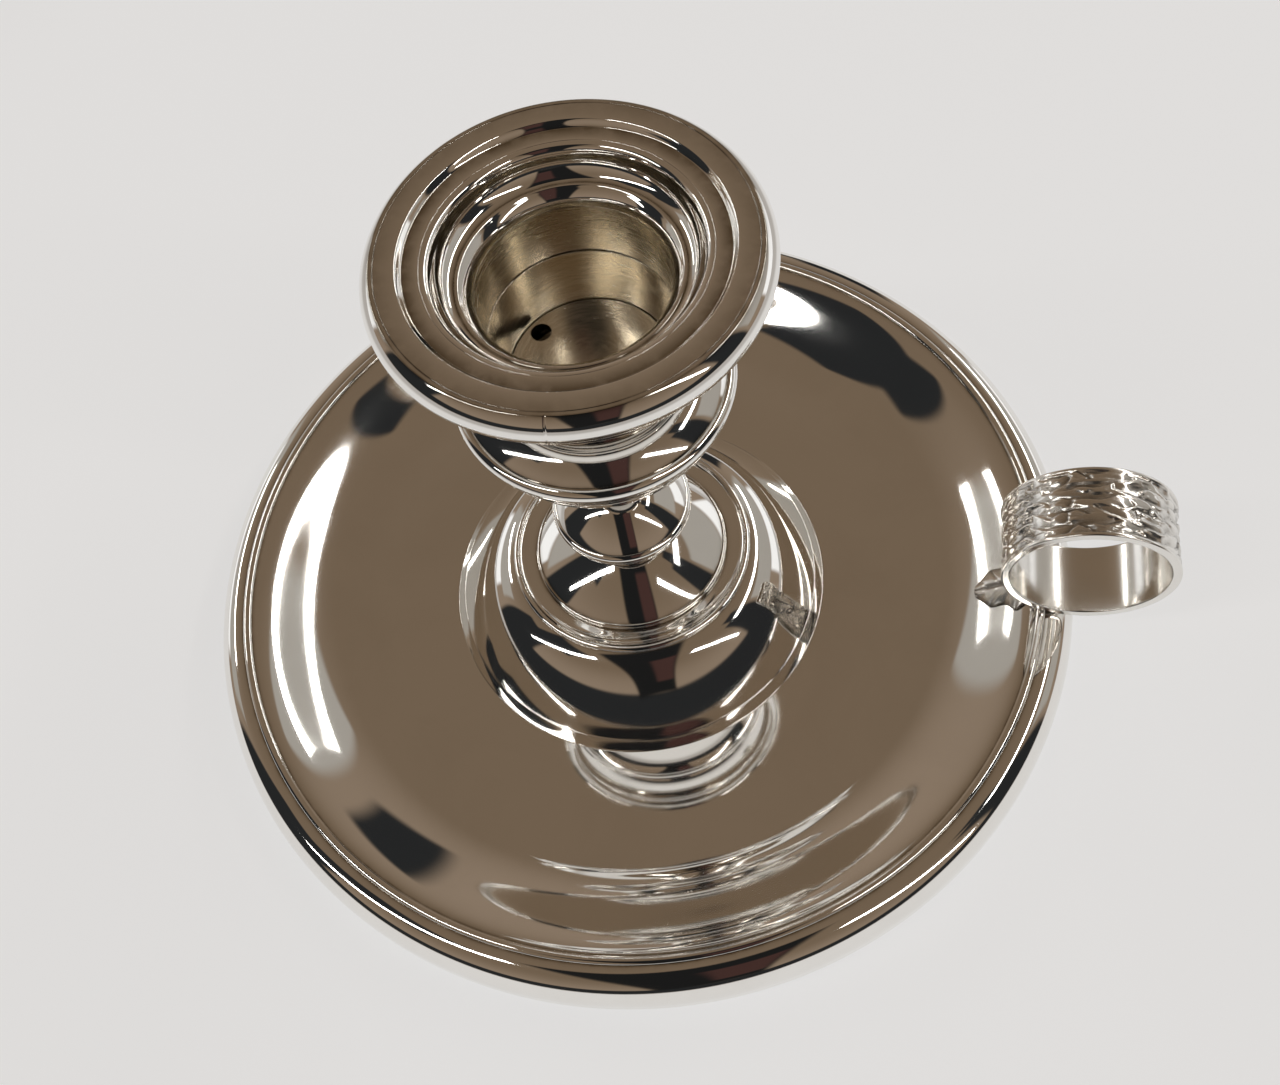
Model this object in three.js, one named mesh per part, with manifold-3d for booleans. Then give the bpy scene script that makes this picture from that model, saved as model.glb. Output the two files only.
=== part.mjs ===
import * as THREE from 'three';
import { mergeVertices } from 'three/addons/utils/BufferGeometryUtils.js';
import Module from 'manifold-3d';

// Chamber candlestick of polished silver: drip dish, turned hollow stem, bell-shaped socket,
// lift-off nozzle and a chased finger ring on the rim.
// Millimetres, +Z up, table at z = 0, stem axis on Z, finger ring towards +X.

// General
const sheet = 1.0; // gauge of raised sheet
const fit = 0.3; // clearance between parts that rest together or slide
const dishSides = 48; // facets round the dish
const stemSides = 24; // facets round stem and nozzle

// Dish
const dishRadius = 64.2; // widest point of the rim
const rollWidth = 5.2; // from the middle of the crest to the widest point
const crestHeight = 8.9; // crest above the table
const skirtDrop = 5.8; // lower edge of the skirt below the crest
const wallWidth = 13.4; // ogee wall from floor to crest, measured along the radius
const floorRise = 1.0; // floor rises this much from collar to wall
const wireWidth = 1.3; // half-round wire on the crest
const wireHeight = 0.5;

// Foot
const collarRadius = 27.5; // raised collar of the dish that carries the foot
const collarHeight = 3.4;
const collarFlare = 5.5; // cove between collar and floor, along the radius
const footHeight = 9.35;
const shoulderRadius = 17.0; // top of the foot dome
const footRingHeight = 0.9;
const footRingReach = 0.35; // ring stands out beyond the shoulder

// Stem
const filletHeight = 1.0; // thin fillets under dome, knop and socket
const domeRadius = 13.4;
const domeHeight = 4.55;
const waistRadius = 6.2; // waist under the knop
const waistHeight = 4.95;
const knopRadius = 9.1;
const knopHeight = 4.3;
const knopRimHeight = 1.9;
const neckRadius = 3.6; // narrowest part of the stem
const neckHeight = 10.3;
const filletReach = 0.5; // fillets stand out this much
const rimReach = 0.9; // edge mouldings stand out this much

// Socket
const socketRadius = 16.3; // bulge at its foot
const cupHeight = 12.2; // cup under the bulge
const socketRimHeight = 2.3;
const bulgeHeight = 2.55;
const flareHeight = 12.95;
const lipInset = 2.6; // from the outside of the nozzle band to the mouth ring
const lipHeight = 3.5;
const lipWidth = 2.2;

// Candle
const candleRadius = 11.0; // mouth of the candle tube
const tubeTaper = 1.2; // tube is narrower by this at its floor
const tubeDepth = 7.5;
const tubeWall = 0.7;
const ventRadius = 1.3;
const ventInset = 0.5; // metal left between vent and tube
const ventTurn = 146.6; // degrees round from the finger ring

// Nozzle
const bandRadius = 23.2;
const bandHeight = 4.3;
const stepDepth = 0.8; // inner ring of the flange lies this much lower
const stepInset = 4.8; // from the outside of the band to the step
const throatRadius = 15.2; // rolled edge of the throat
const beadRadius = 12.8; // bead inside the throat

// Finger ring
const ringRadius = 11.8;
const ringWall = 1.5;
const ringWidth = 10.4;
const ringLip = 0.9; // plain lip along each edge
const barkDepth = 0.45;
const barkRidges = 5;
const leafLength = 0.62; // share of the wall that the leaf covers
const leafWidth = 8.6;
const leafThickness = 1.5;
const saddleLength = 4.4; // fillet of solder under the ring
const saddleWidth = 6.8;
const saddleHeight = 3.8;

const wasm = await Module();
wasm.setup();

const part = new THREE.Group();
part.name = 'candle_holder';

const at = (r, z) => new THREE.Vector2(r, z);

function curve(from, leave, arrive, to, steps) {
  return new THREE.CubicBezierCurve(from, leave, arrive, to).getPoints(steps);
}

// half-round moulding that stands out from a root radius between two heights
function bead(root, low, high, reach, steps) {
  const middle = (low + high) / 2;
  const arc = new THREE.EllipseCurve(root, middle, reach, (high - low) / 2, -Math.PI / 2, Math.PI / 2);
  return arc.getPoints(steps);
}

// the same line moved sideways, to the left of its direction for a positive distance
function offset(points, distance) {
  return points.map((point, i) => {
    const before = points[Math.max(i - 1, 0)];
    const after = points[Math.min(i + 1, points.length - 1)];
    const along = after.clone().sub(before).normalize();
    return at(point.x - along.y * distance, point.y + along.x * distance);
  });
}

function volume(geometry) {
  const p = geometry.attributes.position;
  const index = geometry.index.array;
  const a = new THREE.Vector3();
  const b = new THREE.Vector3();
  const c = new THREE.Vector3();
  let sum = 0;
  for (let i = 0; i < index.length; i += 3) {
    a.fromBufferAttribute(p, index[i]);
    b.fromBufferAttribute(p, index[i + 1]);
    c.fromBufferAttribute(p, index[i + 2]);
    sum += a.dot(b.cross(c)) / 6;
  }
  return sum;
}

// one closed skin with shared corners that faces outwards
function closed(geometry) {
  geometry.deleteAttribute('normal');
  geometry.deleteAttribute('uv');
  const skin = mergeVertices(geometry, 1e-4);
  const inward = volume(skin) < 0;
  const index = skin.index.array;
  const faces = [];
  for (let i = 0; i < index.length; i += 3) {
    const [a, b, c] = index.slice(i, i + 3);
    if (a !== b && b !== c && c !== a) {
      faces.push(a, inward ? c : b, inward ? b : c);
    }
  }
  skin.setIndex(faces);
  return skin;
}

function lathe(outline, sides) {
  const first = outline[0];
  const rounded = first.x === 0 ? outline : [...outline, first.clone()];
  return closed(new THREE.LatheGeometry(rounded, sides).rotateX(Math.PI / 2));
}

function add(name, geometry, colour, roughness) {
  geometry.computeVertexNormals();
  const silver = new THREE.MeshStandardMaterial({ color: colour, roughness, metalness: 1 });
  silver.name = name;
  const mesh = new THREE.Mesh(geometry, silver);
  mesh.name = name;
  part.add(mesh);
}

const bright = 0xdcd8d0;
const satin = 0xb9b5ad;
const turned = (name, outline, sides = stemSides) => add(name, lathe(outline, sides), bright, 0.06);

// Dish: collar, hollow floor, ogee wall, crest and turned-over skirt
const floorHeight = sheet;
const crestRadius = dishRadius - rollWidth;
const landRadius = crestRadius - wireWidth / 2;
const rollRadius = crestRadius + wireWidth / 2;
const floorEdge = landRadius - wallWidth;
const floorStart = collarRadius + collarFlare;
const collarTop = floorHeight + collarHeight;
const floorTop = floorHeight + floorRise;
const skirtHeight = crestHeight - skirtDrop;

const cove = curve(
  at(collarRadius, collarTop), at(collarRadius + collarFlare * 0.32, floorHeight + collarHeight * 0.36),
  at(collarRadius + collarFlare * 0.5, floorHeight), at(floorStart, floorHeight), 5);
const floor = [0.25, 0.5, 0.75].map((share) => at(
  floorStart + (floorEdge - floorStart) * share, floorHeight + floorRise * share ** 1.5));
const wallCurve = new THREE.CubicBezierCurve(
  at(floorEdge, floorTop), at(floorEdge + wallWidth * 0.36, floorTop + floorRise * 0.5),
  at(floorEdge + wallWidth * 0.82, crestHeight), at(landRadius, crestHeight));
const wall = wallCurve.getPoints(8);
const rollWide = dishRadius - rollRadius;
const rollCurve = new THREE.CubicBezierCurve(
  at(rollRadius, crestHeight), at(rollRadius + rollWide * 0.7, crestHeight),
  at(dishRadius + sheet * 0.1, crestHeight - skirtDrop * 0.45),
  at(dishRadius - sheet * 0.2, skirtHeight));
const roll = rollCurve.getPoints(6);
const rimTop = [...wall, ...roll];
const rimUnder = offset(rimTop, -sheet)
  .filter((point, i) => i % 2 === 0 || i === rimTop.length - 1);
rimUnder[rimUnder.length - 1].y = skirtHeight;
const baseEdge = floorEdge - floorRise * 2;
turned('dish', [
  at(0, floorHeight), at(collarRadius, floorHeight), at(collarRadius - sheet * 1.3, collarTop),
  ...cove, ...floor, ...rimTop, ...rimUnder.reverse(),
  at(baseEdge, 0), at(0, 0),
], dishSides);
turned('rim_wire', bead(0, landRadius, rollRadius, wireHeight, 4)
  .map((point) => at(point.y, crestHeight + Math.max(point.x, 0))), dishSides);

// a raised shell that closes inwards to a flat shoulder with a bore through it
function dome(name, outside, bore) {
  const top = outside[outside.length - 1];
  const under = top.y - sheet;
  const foot = outside[0];
  const inside = offset(outside, sheet).filter((point, i) => i % 2 === 0
    && point.y > foot.y + sheet * 0.2 && point.y < under - sheet * 0.2);
  turned(name, [
    ...outside, at(bore, top.y), at(bore, under), ...inside.reverse(), at(foot.x - sheet * 1.3, foot.y),
  ]);
}

// a fillet or edge moulding: flat above and below, half-round outside
function moulding(name, bore, root, low, high, reach, steps = 4) {
  turned(name, [...bead(root, low, high, reach, steps), at(bore, high), at(bore, low)]);
}

// Foot
const footTop = collarTop + footHeight;
const shoulderBore = domeRadius - sheet * 1.5;
dome('foot_dome', curve(
  at(collarRadius, collarTop),
  at(collarRadius - (collarRadius - shoulderRadius) * 0.54, collarTop + footHeight * 0.75),
  at(shoulderRadius + (collarRadius - shoulderRadius) * 0.34, footTop - footHeight * 0.1),
  at(shoulderRadius, footTop), 8),
shoulderBore);

const filletLow = footTop + footRingHeight * 0.22;
const coveEdge = domeRadius + filletReach;
const coveWidth = shoulderRadius - coveEdge;
turned('foot_ring', [
  ...bead(shoulderRadius - footRingReach, footTop, footTop + footRingHeight, footRingReach * 2, 4),
  at(shoulderRadius - coveWidth * 0.3, footTop + footRingHeight * 0.5),
  at(shoulderRadius - coveWidth * 0.65, filletLow),
  at(coveEdge, filletLow), at(shoulderBore, filletLow), at(shoulderBore, footTop),
]);

// Stem
const filletTop = filletLow + filletHeight;
moulding('dome_fillet', shoulderBore, domeRadius, filletLow, filletTop, filletReach);

const domeTop = filletTop + domeHeight;
const waistBore = waistRadius - sheet * 1.6;
dome('upper_dome', curve(
  at(domeRadius, filletTop), at(domeRadius - (domeRadius - waistRadius) * 0.22, filletTop + domeHeight * 0.3),
  at(waistRadius + (domeRadius - waistRadius) * 0.4, filletTop + domeHeight * 0.72),
  at(waistRadius, domeTop), 6),
waistBore);

const waistTop = domeTop + waistHeight;
turned('knop_collar', [
  ...curve(
    at(waistRadius, domeTop), at(waistRadius, domeTop + waistHeight * 0.5),
    at(waistRadius, domeTop + waistHeight * 0.6), at(knopRadius - filletReach, waistTop), 4),
  at(waistBore, waistTop), at(waistBore, domeTop),
]);

const knopLow = waistTop + filletHeight;
const knopStart = knopLow + knopRimHeight;
moulding('knop_fillet', waistBore, knopRadius - filletReach, waistTop, knopLow, filletReach);
moulding('knop_rim', waistBore, knopRadius - rimReach / 3, knopLow, knopStart, rimReach);

const knopTop = knopStart + knopHeight;
const neckBore = neckRadius - sheet * 1.6;
dome('knop', curve(
  at(knopRadius, knopStart), at(knopRadius - (knopRadius - neckRadius) * 0.2, knopStart + knopHeight * 0.32),
  at(neckRadius + (knopRadius - neckRadius) * 0.42, knopStart + knopHeight * 0.8),
  at(neckRadius, knopTop), 6),
neckBore);

const neckTop = knopTop + neckHeight;
const neckMouth = neckRadius + sheet;
turned('stem_neck', [
  ...curve(
    at(neckRadius, knopTop), at(neckRadius - sheet * 0.4, knopTop + neckHeight * 0.4),
    at(neckRadius, knopTop + neckHeight * 0.75), at(neckMouth, neckTop), 5),
  at(neckBore, neckTop), at(neckBore, knopTop),
]);

// Socket: cup, mouldings, bulge, flare and mouth ring
const cupTop = neckTop + cupHeight;
const cupOutside = curve(
  at(neckMouth, neckTop), at(neckMouth + (socketRadius - neckMouth) * 0.4, neckTop + cupHeight * 0.3),
  at(socketRadius - sheet, neckTop + cupHeight * 0.5), at(socketRadius, cupTop), 6);
const cupInside = offset(cupOutside, sheet).filter((point) => point.y > neckTop + sheet * 1.2);
cupInside[cupInside.length - 1].y = cupTop;
turned('socket_base', [
  ...cupOutside, ...cupInside.reverse(), at(neckBore, neckTop + sheet), at(neckBore, neckTop),
]);

const rimBore = socketRadius - sheet * 2;
const rimLow = cupTop + filletHeight;
const rimHigh = rimLow + socketRimHeight;
moulding('socket_fillet', rimBore, socketRadius - filletReach / 2, cupTop, rimLow, filletReach);
moulding('socket_rim', rimBore, socketRadius, rimLow, rimHigh, rimReach * 1.3);

const bulgeTop = rimHigh + bulgeHeight;
const lipLow = bulgeTop + flareHeight;
const tubeTop = lipLow - sheet * 6.1;
const tubeLow = tubeTop - tubeDepth;
const floorRadius = candleRadius - tubeTaper;
const tubeOuter = candleRadius + tubeWall;
const tubeShare = (bulgeTop - tubeLow + sheet) / (tubeDepth + sheet);
const flareBore = tubeOuter - tubeTaper * (1 - tubeShare) + fit;
const flareRadius = flareBore + sheet;
dome('socket_bulge', curve(
  at(socketRadius, rimHigh),
  at(socketRadius - (socketRadius - flareRadius) * 0.19, rimHigh + bulgeHeight * 0.36),
  at(flareRadius + (socketRadius - flareRadius) * 0.45, bulgeTop - bulgeHeight * 0.15),
  at(flareRadius, bulgeTop), 6),
flareBore);

const lipRadius = bandRadius - lipInset;
const lipTop = lipLow + lipHeight;
const flareMouth = lipRadius - lipWidth;
const flareOutside = curve(
  at(flareRadius, bulgeTop), at(flareRadius + tubeTaper * 0.9, bulgeTop + flareHeight * 0.6),
  at(flareRadius + (flareMouth - flareRadius) * 0.35, lipLow - sheet * 0.5),
  at(flareMouth + lipWidth * 0.6, lipLow), 7);
const flareInside = offset(flareOutside, sheet);
flareInside[0].y = bulgeTop;
flareInside[0].x = flareBore;
flareInside[flareInside.length - 1].set(flareMouth, lipLow);
turned('socket_flare', [...flareOutside, ...flareInside.reverse()]);
turned('socket_lip', [
  at(flareMouth, lipLow), at(lipRadius - sheet * 0.5, lipLow),
  ...curve(
    at(lipRadius - sheet * 0.3, lipLow + sheet * 0.2), at(lipRadius, lipLow + lipHeight * 0.3),
    at(lipRadius, lipLow + lipHeight * 0.7), at(lipRadius - sheet * 0.6, lipTop), 4),
  at(flareMouth, lipTop),
]);

// Candle tube and its floor
add('candle_tube', lathe([
  at(floorRadius, tubeLow), at(candleRadius, tubeTop), at(tubeOuter, tubeTop),
  at(floorRadius + tubeWall, tubeLow - sheet), at(floorRadius, tubeLow - sheet),
], stemSides), satin, 0.3);

const ventReach = floorRadius - ventInset - ventRadius;
const discRadius = floorRadius * Math.cos(Math.PI / stemSides) - fit * 0.1;
const disc = new THREE.Shape().absarc(0, 0, discRadius, 0, Math.PI * 2);
const ventAngle = THREE.MathUtils.degToRad(ventTurn);
disc.holes.push(new THREE.Path().absarc(
  ventReach * Math.cos(ventAngle), ventReach * Math.sin(ventAngle), ventRadius, 0, Math.PI * 2, true));
const discSolid = new THREE.ExtrudeGeometry(disc, { depth: sheet, bevelEnabled: false, curveSegments: 16 });
add('tube_floor', closed(discSolid.translate(0, 0, tubeLow - sheet)), satin, 0.3);

// Nozzle: band on the mouth ring, stepped flange, throat and sleeve
const bandTop = lipTop + bandHeight;
const stepRadius = bandRadius - stepInset;
const bandInner = stepRadius + stepDepth * 1.25;
const flangeRadius = bandRadius - sheet * 2.1;
const ledge = bandTop - sheet;
turned('nozzle_band', [
  at(bandInner, lipTop), at(bandRadius - sheet * 1.7, lipTop),
  ...curve(
    at(bandRadius - sheet * 0.7, lipTop + bandHeight * 0.1),
    at(bandRadius + sheet * 0.15, lipTop + bandHeight * 0.35),
    at(bandRadius + sheet * 0.15, lipTop + bandHeight * 0.7),
    at(flangeRadius + sheet * 0.5, bandTop), 5),
  at(flangeRadius, bandTop), at(flangeRadius, ledge), at(bandInner, ledge),
]);

const flangeBore = throatRadius + sheet;
const stepTop = bandTop - stepDepth;
turned('nozzle_flange', [
  at(flangeRadius, ledge), at(flangeRadius, bandTop), at(stepRadius + stepDepth / 2, bandTop),
  at(stepRadius, bandTop - stepDepth / 4), at(stepRadius - stepDepth / 2, stepTop),
  at(flangeBore, stepTop), at(flangeBore, stepTop - sheet),
  at(stepRadius - stepDepth / 4, stepTop - sheet), at(stepRadius + stepDepth, ledge),
]);

const throatLow = tubeTop + fit;
const sleeveTop = lipTop - sheet * 2;
const beadTop = lipTop + sheet * 0.2;
const throatTop = [
  at(candleRadius + tubeTaper * 0.2, sleeveTop),
  ...curve(
    at(candleRadius + tubeTaper * 0.25, sleeveTop + sheet * 0.4),
    at(candleRadius + tubeTaper * 0.4, beadTop - sheet),
    at(beadRadius - sheet * 0.8, beadTop - sheet * 0.5),
    at(beadRadius - sheet * 0.4, beadTop - sheet * 0.2), 3),
  at(beadRadius, beadTop), at(beadRadius + sheet * 0.3, beadTop - sheet * 0.2),
  ...curve(
    at(beadRadius + sheet * 0.6, beadTop - sheet * 0.1),
    at(throatRadius - sheet * 0.9, beadTop + sheet * 0.3),
    at(throatRadius - sheet * 0.4, beadTop + sheet * 1.2),
    at(throatRadius - sheet * 0.2, stepTop - sheet * 1.1), 4),
  ...curve(
    at(throatRadius, stepTop - sheet * 0.6), at(throatRadius + sheet * 0.15, stepTop - sheet * 0.2),
    at(throatRadius + sheet * 0.5, stepTop), at(flangeBore, stepTop), 3),
];
const throatUnder = offset(throatTop, -sheet * 0.8);
throatUnder[0].set(tubeOuter, sleeveTop);
throatUnder[throatUnder.length - 1].set(flangeBore, stepTop - sheet * 0.8);
turned('nozzle_throat', [...throatTop, ...throatUnder.reverse()]);

add('nozzle_sleeve', lathe([
  at(candleRadius, throatLow), at(tubeOuter, throatLow),
  at(tubeOuter, sleeveTop), at(candleRadius + tubeTaper * 0.2, sleeveTop),
], stemSides), satin, 0.3);

// Finger ring: a band whose outside is chased like bark between two plain lips
const ringCentre = dishRadius - sheet * 0.3;
const wireTop = crestHeight + wireHeight;
const ringHeight = wireTop + fit + Math.sqrt(ringRadius ** 2 - (ringCentre - crestRadius) ** 2);
const half = ringWidth / 2;
const barkHalf = half - ringLip;
const ringInner = ringRadius - ringWall;
const barkRows = barkRidges * 3;
const barkRadius = ringRadius - barkDepth * 0.3;
const across = Array.from({ length: barkRows + 1 }, (_, i) => at(
  barkRadius, barkHalf * (2 * i / barkRows - 1)));
const ringOutline = [
  at(ringInner, -half), at(ringRadius, -half), at(ringRadius, -barkHalf - ringLip / 3),
  ...across,
  at(ringRadius, barkHalf + ringLip / 3), at(ringRadius, half), at(ringInner, half),
];
const ring = new THREE.LatheGeometry([...ringOutline, ringOutline[0].clone()], 54);
const spot = ring.attributes.position;
for (let i = 0; i < spot.count; i += 1) {
  const x = spot.getX(i);
  const y = spot.getY(i);
  const z = spot.getZ(i);
  const reach = Math.hypot(x, z);
  const inBark = reach > ringInner + ringWall / 2 && Math.abs(y) < barkHalf + ringLip / 6;
  if (inBark) {
    const turn = Math.atan2(z, x);
    const wander = 0.9 * Math.sin(3 * turn + 0.4) + 0.6 * Math.sin(7 * turn + 1.9);
    const ridge = Math.cos(Math.PI * barkRidges * (y / barkHalf) + wander);
    const knots = 0.25 * Math.sin(11 * turn + 4 * y / barkHalf);
    const depth = barkDepth * (0.5 - 0.4 * ridge + 0.4 * knots);
    const deeper = (reach - depth) / reach;
    spot.setXYZ(i, x * deeper, y, z * deeper);
  }
}
add('handle_ring', closed(ring.translate(ringCentre, 0, ringHeight)), bright, 0.14);

// Leaf tail: follows the wall of the dish from under the ring down to a point
function leafPoint(along, side, lift) {
  const share = 0.97 - leafLength * along;
  const foot = wallCurve.getPoint(share);
  const slope = wallCurve.getTangent(share);
  const lobes = 1 + 0.12 * Math.cos(along * Math.PI * 5);
  const width = leafWidth / 2 * lobes * Math.sqrt(1 - 0.94 * along ** 1.6);
  const vein = 1 - 0.35 * Math.exp(-((side / 0.18) ** 2));
  const body = leafThickness * (1 - 0.75 * side ** 2) * (1 - 0.6 * along) * vein;
  const height = fit + (lift ? body : 0);
  const r = foot.x - slope.y * height;
  const turn = side * width / r;
  return new THREE.Vector3(r * Math.cos(turn), r * Math.sin(turn), foot.y + slope.x * height);
}

function slab(rows, columns, place) {
  const corners = [];
  const faces = [];
  const stride = columns + 1;
  const under = (rows + 1) * stride;
  for (const lift of [true, false]) {
    for (let i = 0; i <= rows; i += 1) {
      for (let j = 0; j <= columns; j += 1) {
        corners.push(...place(i / rows, 2 * j / columns - 1, lift).toArray());
      }
    }
  }
  const quad = (a, b, c, d) => faces.push(a, b, c, a, c, d);
  for (let i = 0; i < rows; i += 1) {
    for (let j = 0; j < columns; j += 1) {
      const a = i * stride + j;
      quad(a, a + 1, a + stride + 1, a + stride);
      quad(under + a, under + a + stride, under + a + stride + 1, under + a + 1);
    }
  }
  for (let i = 0; i < rows; i += 1) {
    const left = i * stride;
    const right = left + columns;
    quad(left, left + stride, under + left + stride, under + left);
    quad(right, under + right, under + right + stride, right + stride);
  }
  for (let j = 0; j < columns; j += 1) {
    const tip = rows * stride + j;
    quad(j, under + j, under + j + 1, j + 1);
    quad(tip, tip + 1, under + tip + 1, under + tip);
  }
  const body = new THREE.BufferGeometry();
  body.setAttribute('position', new THREE.Float32BufferAttribute(corners, 3));
  body.setIndex(faces);
  return closed(body);
}
add('handle_leaf', slab(10, 8, leafPoint), bright, 0.12);

// Saddle: fills the wedge between the ring and the roll of the rim
function solid(geometry) {
  const skin = closed(geometry);
  return new wasm.Manifold(new wasm.Mesh({
    numProp: 3,
    vertProperties: new Float32Array(skin.attributes.position.array),
    triVerts: new Uint32Array(skin.index.array),
  }));
}
function skinOf(body) {
  const made = body.getMesh();
  const skin = new THREE.BufferGeometry();
  skin.setAttribute('position', new THREE.Float32BufferAttribute(made.vertProperties, 3));
  skin.setIndex(Array.from(made.triVerts));
  return closed(skin);
}
const saddleRadius = ringCentre - saddleLength * 0.22;
const saddleMiddle = ringHeight - ringRadius - saddleHeight * 0.22;
const lump = new THREE.SphereGeometry(1, 20, 12)
  .scale(saddleLength / 2, saddleWidth / 2, saddleHeight / 2)
  .translate(saddleRadius, 0, saddleMiddle);
const rimOuter = offset(roll, fit);
const rimSolid = lathe([
  ...rimOuter, at(dishRadius + fit, 0), at(crestRadius, 0), at(crestRadius, crestHeight + fit),
], dishSides);
const ringSolid = new THREE.CylinderGeometry(ringRadius + fit, ringRadius + fit, ringWidth * 2, 54)
  .translate(ringCentre, 0, ringHeight);
add('handle_saddle', skinOf(solid(lump).subtract(solid(rimSolid)).subtract(solid(ringSolid))), bright, 0.2);

export default part;
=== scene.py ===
import math

import bmesh
import bpy
import numpy as np
from mathutils import Matrix, Vector


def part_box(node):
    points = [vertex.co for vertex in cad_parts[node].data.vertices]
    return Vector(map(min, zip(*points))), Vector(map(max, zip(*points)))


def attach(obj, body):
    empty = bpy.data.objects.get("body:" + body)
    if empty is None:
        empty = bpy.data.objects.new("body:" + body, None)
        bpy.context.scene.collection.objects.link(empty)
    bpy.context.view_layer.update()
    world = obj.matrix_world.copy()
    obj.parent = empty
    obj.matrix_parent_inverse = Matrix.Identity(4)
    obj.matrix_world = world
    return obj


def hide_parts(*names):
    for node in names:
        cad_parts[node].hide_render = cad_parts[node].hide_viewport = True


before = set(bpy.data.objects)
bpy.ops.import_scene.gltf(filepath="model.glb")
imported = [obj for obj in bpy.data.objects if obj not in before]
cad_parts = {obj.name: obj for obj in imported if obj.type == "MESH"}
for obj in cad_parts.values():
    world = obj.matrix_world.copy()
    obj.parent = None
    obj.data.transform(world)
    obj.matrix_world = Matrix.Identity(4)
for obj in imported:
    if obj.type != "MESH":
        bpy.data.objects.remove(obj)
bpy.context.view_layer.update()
scene = bpy.context.scene
mm = 0.001  # sizes below are in millimetres, the scene is in metres
print("frame loaded:", len(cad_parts), "nodes")


# makes a node, sets its options and fills or links its inputs
def addNode(tree, kind, inputs=None, **options):
    made = tree.nodes.new(kind)
    for name, value in options.items():
        setattr(made, name, value)
    for name, value in (inputs or {}).items():
        if isinstance(value, bpy.types.NodeSocket):
            tree.links.new(value, made.inputs[name])
        else:
            made.inputs[name].default_value = value
    return made


def doMath(tree, operation, first, second=0.0, third=0.0, clamp=False):
    return addNode(tree, "ShaderNodeMath", {0: first, 1: second, 2: third},
                   operation=operation, use_clamp=clamp).outputs[0]


def remap(tree, value, fromLow, fromHigh, toLow=0.0, toHigh=1.0, soft=False):
    return addNode(tree, "ShaderNodeMapRange",
                   {"Value": value, "From Min": fromLow, "From Max": fromHigh,
                    "To Min": toLow, "To Max": toHigh},
                   interpolation_type="SMOOTHSTEP" if soft else "LINEAR").outputs[0]


def mixColour(tree, share, first, second):
    made = addNode(tree, "ShaderNodeMix", {0: share, 6: first, 7: second}, data_type="RGBA")
    return made.outputs[2]


# distance from the axis, and the turn round it
def roundAxis(tree, axis):
    squares = [doMath(tree, "MULTIPLY", axis[k], axis[k]) for k in (0, 1)]
    return doMath(tree, "SQRT", doMath(tree, "ADD", *squares)), doMath(tree, "ARCTAN2", axis[1], axis[0])


# wear that all the silver shares: hand smudges, turning lines and tarnish kept in the seams
wearValues = {"lineScale": 2600.0, "lineTurn": 0.0012, "lineSpan": (0.35, 0.65), "lineRough": 0.3,
              "smudgeScale": 55.0, "smudgeGrain": 0.62, "smudgeWarp": 0.6, "smudgeSpan": (0.42, 0.72),
              "smudgeDull": 0.12, "fleckScale": 420.0, "fleckSpan": (0.3, 0.6), "fleckLow": 0.55}


def buildSilverWear(values):
    group = bpy.data.node_groups.new("silverWear", "ShaderNodeTree")
    face = group.interface
    for name, start in (("Seam", 0.0), ("Smudge", 0.5), ("Turning", 0.5),
                        ("Rough Low", 0.04), ("Rough High", 0.1)):
        face.new_socket(name, in_out="INPUT", socket_type="NodeSocketFloat").default_value = start
    for name in ("Clean", "Tarnish"):
        face.new_socket(name, in_out="INPUT", socket_type="NodeSocketColor")
    face.new_socket("Color", in_out="OUTPUT", socket_type="NodeSocketColor")
    face.new_socket("Roughness", in_out="OUTPUT", socket_type="NodeSocketFloat")
    face.new_socket("Height", in_out="OUTPUT", socket_type="NodeSocketFloat")
    given = addNode(group, "NodeGroupInput").outputs
    place = addNode(group, "ShaderNodeTexCoord").outputs["Object"]
    axis = addNode(group, "ShaderNodeSeparateXYZ", {0: place}).outputs
    out, turn = roundAxis(group, axis)
    ringPlace = addNode(group, "ShaderNodeCombineXYZ",
                        {0: out, 1: axis[2], 2: doMath(group, "MULTIPLY", turn, values["lineTurn"])}).outputs[0]
    lines = addNode(group, "ShaderNodeTexNoise",
                    {"Vector": ringPlace, "Scale": values["lineScale"], "Detail": 2.0}).outputs[0]
    smudge = addNode(group, "ShaderNodeTexNoise",
                     {"Vector": place, "Scale": values["smudgeScale"], "Detail": 5.0,
                      "Roughness": values["smudgeGrain"], "Distortion": values["smudgeWarp"]}).outputs[0]
    smudgeMask = doMath(group, "MULTIPLY", remap(group, smudge, *values["smudgeSpan"]), given["Smudge"])
    fleck = addNode(group, "ShaderNodeTexNoise",
                    {"Vector": place, "Scale": values["fleckScale"], "Detail": 3.0}).outputs[0]
    seamMask = doMath(group, "MULTIPLY", given["Seam"],
                      remap(group, fleck, *values["fleckSpan"], values["fleckLow"], 1.0))
    dull = doMath(group, "MULTIPLY_ADD", smudgeMask, values["smudgeDull"], seamMask, clamp=True)
    colour = mixColour(group, dull, given["Clean"], given["Tarnish"])
    lineRough = values["lineRough"]
    lineShare = doMath(group, "MULTIPLY", remap(group, lines, *values["lineSpan"], -lineRough, lineRough),
                       given["Turning"])
    roughShare = doMath(group, "ADD", doMath(group, "ADD", smudgeMask, lineShare), seamMask, clamp=True)
    rough = doMath(group, "MULTIPLY_ADD", roughShare,
                   doMath(group, "SUBTRACT", given["Rough High"], given["Rough Low"]),
                   given["Rough Low"])
    height = doMath(group, "MULTIPLY", lines, given["Turning"])
    addNode(group, "NodeGroupOutput", {"Color": colour, "Roughness": rough, "Height": height})
    return group


silverWear = buildSilverWear(wearValues)


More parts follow.
